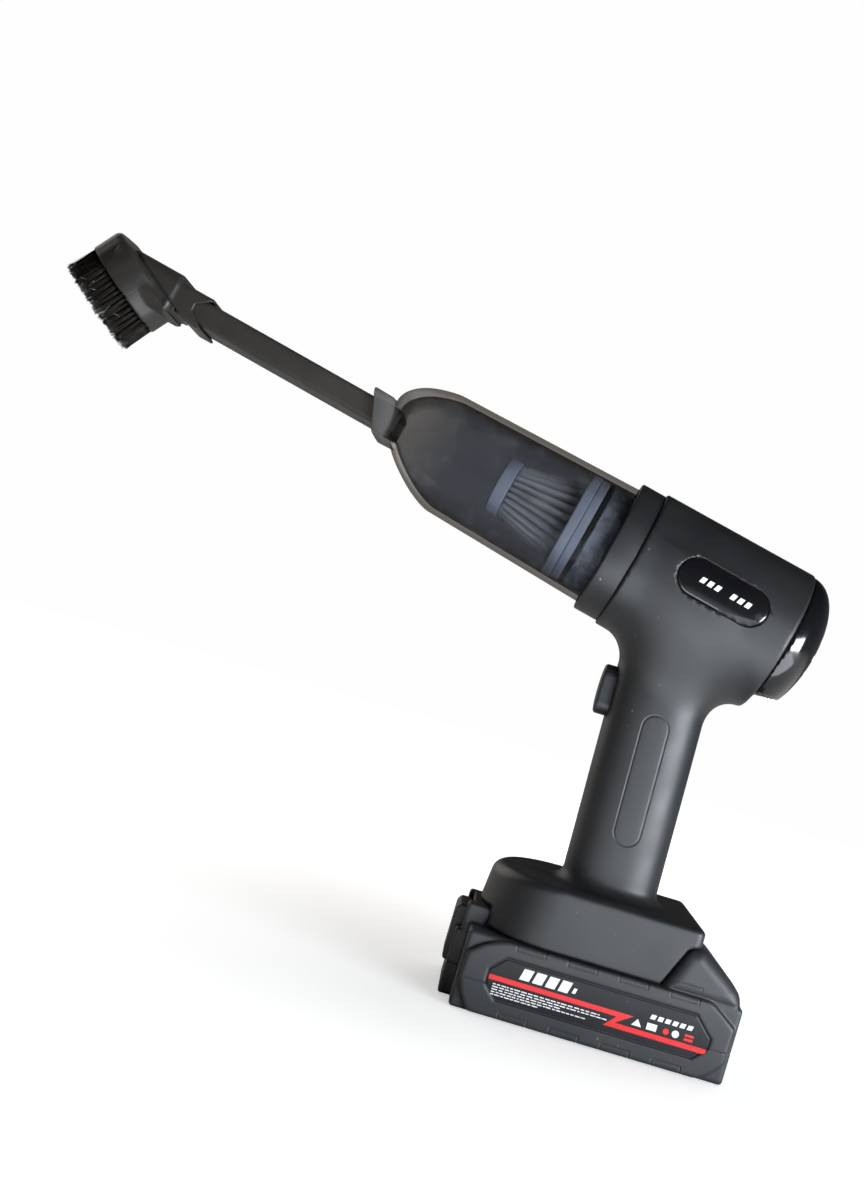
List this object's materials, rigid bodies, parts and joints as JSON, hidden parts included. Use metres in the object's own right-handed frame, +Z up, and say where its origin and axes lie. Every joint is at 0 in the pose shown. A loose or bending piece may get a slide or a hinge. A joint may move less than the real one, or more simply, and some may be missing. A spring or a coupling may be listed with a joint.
{
  "type": "handheld vacuum",
  "caption": "Cordless pistol-grip handheld vacuum with a smoked dust cup, flat tube, dusting brush and slide-on battery pack.",
  "frame": {"origin": "middle of the battery pack's flat base, which the vacuum stands on", "axes": "+Z up, -X the way the nozzle points, -Y the vacuum's left side"},
  "size_m": [0.3604, 0.075, 0.2698],
  "materials": {
    "body_plastic": "soft matte black",
    "gloss_plastic": "gloss black",
    "tube_plastic": "satin brown black",
    "smoked_clear": "clear smoked grey",
    "filter_plastic": "satin blue grey",
    "filter_paper": "matte grey",
    "rubber": "matte",
    "pack_plastic": "fine matte grey",
    "label": "satin black with a red line",
    "bristle": "matte",
    "inner_plastic": "matte",
    "steel": "brushed",
    "cell_steel": "satin sleeve",
    "copper": "satin",
    "bronze": "satin",
    "board": "satin",
    "wire_red": "satin"
  },
  "bodies": {
    "body": {"front_collar": "body_plastic", "cup_spigot": "body_plastic", "rear_cap": "gloss_plastic", "badge": "gloss_plastic", "intake_grille": "body_plastic", "fan_housing": "inner_plastic", "motor_can": "steel", "front_bearing": "bronze", "rear_bearing": "bronze", "motor_endbell": "inner_plastic", "motor_mount": "inner_plastic", "rear_damper": "rubber", "left_shell": "body_plastic", "right_shell": "body_plastic", "grip_plate_left": "body_plastic", "grip_plate_right": "body_plastic", "body_screw_1": "steel", "body_screw_2": "steel", "body_screw_3": "steel", "body_screw_4": "steel", "control_board": "board", "micro_switch": "inner_plastic", "wire_positive": "wire_red", "wire_negative": "rubber", "terminal_block": "inner_plastic", "terminal_blade_positive": "bronze", "terminal_blade_negative": "bronze"},
    "rotor": {"impeller": "inner_plastic", "motor_shaft": "steel", "armature": "copper"},
    "button": {"power_button": "gloss_plastic"},
    "filter": {"filter_end_cap": "filter_plastic", "filter_pleats": "filter_paper", "filter_flange": "filter_plastic", "filter_ring": "filter_plastic", "filter_gasket": "rubber"},
    "cup_rim": {"cup_seal": "rubber"},
    "cup": {"dust_cup": "smoked_clear"},
    "tube": {"extension_tube": "tube_plastic"},
    "brush": {"brush_head": "tube_plastic", "bristle_ring": "bristle"},
    "pack": {"pack_lower_case": "pack_plastic", "pack_upper_case": "pack_plastic", "latch_spring": "steel", "label_left": "label", "label_right": "label", "cell_1": "cell_steel", "cell_2": "cell_steel", "cell_3": "cell_steel", "cell_4": "cell_steel", "cell_5": "cell_steel", "cell_holder_left": "inner_plastic", "cell_holder_right": "inner_plastic", "charge_board": "board", "pack_screw_1": "steel", "pack_screw_2": "steel", "pack_screw_3": "steel", "pack_screw_4": "steel"},
    "latch": {"latch_button": "pack_plastic"}
  },
  "joints": [
    {"name": "rotor_spin", "type": "hinge", "parent": "body", "child": "rotor", "pos_m": [-0.0467, 0, 0.2005], "axis": [-0.9748, 0, 0.2233], "continuous": true},
    {"name": "power_button_press", "type": "slide", "parent": "body", "child": "button", "axis": [1, 0, 0], "range_m": [0, 0.0025], "stiffness_N_per_m": 600, "springref_m": -0.002},
    {"name": "cup_pull", "type": "slide", "parent": "body", "child": "cup_rim", "axis": [-0.9748, 0, 0.2233], "range_m": [0, 0.09]},
    {"name": "cup_twist", "type": "hinge", "parent": "cup_rim", "child": "cup", "pos_m": [-0.0467, 0, 0.2005], "axis": [-0.9748, 0, 0.2233], "range_deg": [0, 25]},
    {"name": "tube_pull", "type": "slide", "parent": "cup", "child": "tube", "axis": [-0.9748, 0, 0.2233], "range_m": [0, 0.03]},
    {"name": "brush_pull", "type": "slide", "parent": "tube", "child": "brush", "axis": [-0.9748, 0, 0.2233], "range_m": [0, 0.03]},
    {"name": "filter_pull", "type": "slide", "parent": "body", "child": "filter", "axis": [-0.9748, 0, 0.2233], "range_m": [0, 0.041]},
    {"name": "pack_slide", "type": "slide", "parent": "body", "child": "pack", "axis": [1, 0, 0], "range_m": [0, 0.1]},
    {"name": "latch_press", "type": "slide", "parent": "pack", "child": "latch", "axis": [0, 0, -1], "range_m": [0, 0.0035], "stiffness_N_per_m": 800, "springref_m": -0.002, "deforming": ["latch_spring"]}
  ],
  "couplings": [
    {"joint": "filter_pull", "follows": "cup_pull", "ratio": 0.45}
  ]
}
